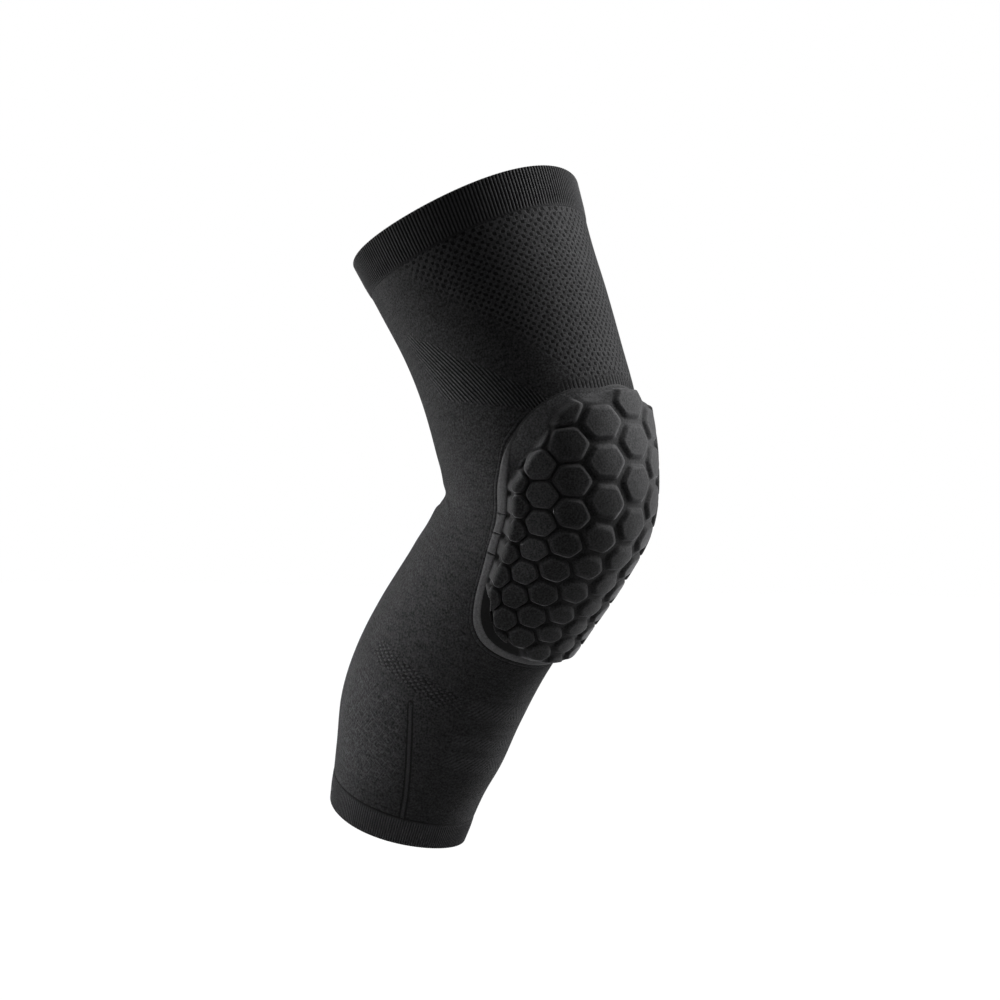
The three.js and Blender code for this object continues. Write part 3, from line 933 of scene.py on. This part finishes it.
# the pressed flange round the pad
padBorder = {
    "around": 1800,
    "lap": 0.008,           # share of the outline by which the foam laps over the flange
    "welt": 0.012,          # width of the thin welt that is left of it along the top, as a share
    "wide": 1.0,            # share of the outline that it reaches elsewhere
    "wideTurn": (50, 66),   # degrees from the top of the pad over which it widens
    "low": 0.15,            # lifts of its underside and its face, and of the welt, mm
    "high": 1.6,
    "weltHigh": 0.4,
    "bevel": 0.1,           # share of the width that each rounded edge takes, and its share of the height
    "shoulder": 0.84,
    "faceRows": 8,
    "edgeRows": 4,
    "slitColumn": 4.0,      # pressed creases run out from these grooves of the honeycomb
    "slitRows": [3.5, 4.5, 5.5],
    "slitSide": 60,
    "slitEnd": (0.7, 0.95),
    "slitDepth": 1.4,
    "slitWidth": 0.6,
    "light": (0.115, 0.115, 0.118),
}


def makeBorder():
    plan = padBorder
    bevel, shoulder = plan["bevel"], plan["shoulder"]
    profile = []            # share of the width and share of the height
    for t in np.linspace(0, 1, plan["faceRows"] + 1):
        profile.append((bevel + (1 - 2 * bevel) * t, 1 - (1 - shoulder) * (2 * t - 1) ** 4))
    for turn in np.linspace(0, np.pi / 2, plan["edgeRows"])[1:]:
        profile.append((1 - bevel + bevel * np.sin(turn), shoulder * np.cos(turn)))
    for turn in np.linspace(np.pi / 2, 0, plan["edgeRows"])[:-1]:
        profile.append((bevel - bevel * np.sin(turn), shoulder * np.cos(turn)))
    profile = np.array(profile + profile[:1])

    piece = addGrid("padBorder", plan["around"], len(profile) - 1)
    flat = corners(piece)
    direction = 2 * np.pi * flat[:, 0]
    turn = np.abs(np.degrees(direction))
    row = np.rint((flat[:, 1] + 0.5) * (len(profile) - 1)).astype(int)
    across, rise = profile[row].T
    wide = smooth(turn, *plan["wideTurn"])
    inner = foamEdge(turn) - plan["lap"]
    outer = foamEdge(turn) + plan["welt"]
    outer = outer + (plan["wide"] - outer) * wide
    high = plan["weltHigh"] + (plan["high"] - plan["weltHigh"]) * wide
    radius = reachAt(direction) * (inner + (outer - inner) * across)
    station = padPlan["middle"] - radius * np.cos(direction) / padPlan["perStation"]
    spread = radius * np.sin(direction) / padPlan["perDegree"]

    crease = np.zeros_like(direction)
    for slitRow in plan["slitRows"]:
        slitStation = gridPlace(plan["slitColumn"], slitRow)[0]
        gap = (station - slitStation) * padPlan["perStation"]
        crease += np.exp(-(gap / plan["slitWidth"]) ** 2) * (np.abs(spread) > plan["slitSide"])
    crease = crease * fall(across, *plan["slitEnd"])
    lift = plan["low"] + (high - plan["low"]) * rise - crease * plan["slitDepth"] * rise
    setCorners(piece, onLeg(station, np.radians(spread), np.maximum(lift, plan["low"])))
    paint(piece, "crease", crease)
    paint(piece, "across", across)
    paint(piece, "welt", 1 - wide)
    weld(piece)
    smoothShade(piece)
    return piece


def borderFinish():
    material, sheet = startFinish("padBorder")
    crease = attribute(sheet, "crease")
    weldLine = attribute(sheet, "across").line(0.95, 0.1)
    weave = grain(sheet, 900, 4.0) - 0.5
    cloud = grain(sheet, 60, 2.0) - 0.5
    tone = 0.7 + weave * 0.9 + cloud * 0.15
    # painted shade in the pressed creases
    tone = tone * (1 - crease * 0.95) * (1 - weldLine * 0.4) * (1 - attribute(sheet, "welt") * 0.6)
    height = weave * 0.06 + cloud * 0.1 - crease * 0.2
    closeFinish(sheet, tone, padBorder["light"], 0.82, height, smoothSheen)
    return material


# the seam down each side of the tube's lower half
calfSeam = {
    "across": 10,
    "along": 110,
    "start": 9.97,          # stations
    "end": 12.47,
    "fade": 0.2,            # stations over which it rises at its upper end, from this share of its height
    "lowStart": 0.3,
    "width": 2.6,           # mm
    "rise": 0.28,
    "sink": 0.3,
    "thick": 0.4,
}


def makeSeam(name, side):
    plan = calfSeam
    strip = addGrid(name, plan["across"], plan["along"])
    flat = corners(strip)
    station = plan["start"] + (plan["end"] - plan["start"]) * (0.5 - flat[:, 1])
    offset = flat[:, 0] * plan["width"]
    middle = np.radians(seamAngle(station))
    angle = side * middle + offset / girthAt(station, middle)
    grown = smooth(station, plan["start"], plan["start"] + plan["fade"])
    grown = plan["lowStart"] + (1 - plan["lowStart"]) * grown
    arch = np.sqrt(np.clip(1 - (2 * flat[:, 0]) ** 4, 0, 1))
    lift = (plan["rise"] + plan["sink"]) * arch * grown - plan["sink"]
    setCorners(strip, onLeg(station, angle, lift))
    modify(strip, "SOLIDIFY", thickness=plan["thick"] * mm, offset=-1.0, use_rim=True)
    smoothShade(strip)
    return strip


def seamFinish():
    material, sheet = startFinish("seamTape")
    uv = sheet.node("ShaderNodeSeparateXYZ", None, {0: sheet.node("ShaderNodeUVMap")})
    weave = grain(sheet, 1600, 3.0) - 0.5
    stitch = (uv.also(1) * 60).wave()
    # painted shade along both edges of the tape
    edge = abs(uv - 0.5).step(0.26, 0.46)
    tone = (0.42 + weave * 0.9 + stitch * 0.06) * (1 - edge * 0.9)
    height = weave * 0.06 + stitch * 0.05
    closeFinish(sheet, tone, blackYarn["light"], 0.88, height, knitSheen)
    return material


def dress(piece, material, slot, *nodes):
    piece.data.materials.clear()
    piece.data.materials.append(material)
    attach(piece, "root")
    if nodes:
        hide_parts(*nodes)
    print(piece.name, "made,", len(piece.data.polygons), "faces")


tube = makeTube()
dress(tube, knitFinish(), "sleeve_knit", "sleeve_tube")
ribbedKnit = cuffFinish()
for cuffName in ("thighCuff", "calfCuff"):
    cuffPiece = makeCuff(cuffName)
    dress(cuffPiece, ribbedKnit, "cuff_knit", cuffs[cuffName]["node"])
pad = makePad()
dress(pad, foamFinish(), "pad_foam", "hex_pad")
border = makeBorder()
dress(border, borderFinish(), "pad_border", "pad_flange")
seamLook = seamFinish()
seams = [makeSeam("calfSeamNear", -1), makeSeam("calfSeamFar", 1)]
for seam in seams:
    dress(seam, seamLook, "sleeve_knit")


# studio
studio = {
    "floor": -0.245,
    "floorSize": 12.0,
    "floorColour": (0.3, 0.3, 0.3, 1),
    "floorGlow": 0.93,      # share of the floor's look that is even white, and how bright that is
    "glowStrength": 1.09,
    "white": (1, 1, 1, 1),
    "worldLight": 0.012,
    "lights": [  # name, place, aim, size, watts and how wide the beam spreads, degrees
        ("leftLight", (-0.5, 2.0, 0.35), (0, 0, 0), 1.3, 48, 180),
        ("sideLight", (-1.6, 0.5, 0.05), (-0.02, 0.07, -0.13), 0.2, 0.11, 16),
        ("calfLight", (-1.6, 0.3, -0.2), (-0.02, 0.09, -0.17), 0.2, 0.03, 11),
        ("rightLight", (1.5, -1.15, 1.3), (0, 0, 0), 1.2, 81, 180),
        ("lowRightLight", (1.6, -1.3, 0.1), (0, 0, -0.1), 1.0, 13, 180),
        ("topLight", (-0.5, -0.5, 2.0), (0, 0, 0), 1.4, 8, 180),
    ],
    "camera": (-1.7948, -1.2726, -0.0061),
    "cameraTurn": -54,
    "lens": 129.84,         # mm, for a sensor of this width
    "sensor": 36,
}


def makeStudio():
    bpy.ops.object.select_all(action="DESELECT")
    bpy.ops.mesh.primitive_plane_add(size=studio["floorSize"], location=(0, 0, studio["floor"]))
    floor = named("floor")
    material, sheet = startFinish("paleFloor")
    matte = sheet.node("ShaderNodeBsdfDiffuse", None, {"Color": studio["floorColour"]})
    glow = sheet.node("ShaderNodeEmission", None,
                      {"Color": studio["white"], "Strength": studio["glowStrength"]})
    share = sheet.node("ShaderNodeLightPath") * studio["floorGlow"]
    mixed = sheet.node("ShaderNodeMixShader", None, {0: share, 1: matte, 2: glow})
    sheet.node("ShaderNodeOutputMaterial", None, {"Surface": mixed})
    floor.data.materials.append(material)

    world = bpy.data.worlds.new("studio")
    bpy.context.scene.world = world
    world.use_nodes = True
    world.node_tree.nodes.clear()
    sky = Wire(world.node_tree)
    seen = sky.node("ShaderNodeLightPath")
    strength = seen * (1 - studio["worldLight"]) + studio["worldLight"]
    shine = sky.node("ShaderNodeBackground", None, {"Color": studio["white"], "Strength": strength})
    sky.node("ShaderNodeOutputWorld", None, {"Surface": shine})

    for name, place, aim, size, power, spread in studio["lights"]:
        bpy.ops.object.light_add(type="AREA", location=place)
        lamp = bpy.context.object
        lamp.name = name
        lamp.data.size = size
        lamp.data.energy = power
        lamp.data.spread = math.radians(spread)
        away = np.array(place) - np.array(aim)
        tilt = math.acos(away[2] / np.linalg.norm(away))
        lamp.rotation_euler = (tilt, 0, math.atan2(away[1], away[0]) + math.pi / 2)

    bpy.ops.object.camera_add(location=studio["camera"],
                              rotation=(math.pi / 2, 0, math.radians(studio["cameraTurn"])))
    camera = bpy.context.object
    camera.data.sensor_width = studio["sensor"]
    camera.data.lens = studio["lens"]
    scene = bpy.context.scene
    scene.camera = camera
    scene.view_settings.view_transform = "Standard"


makeStudio()
print("studio set")
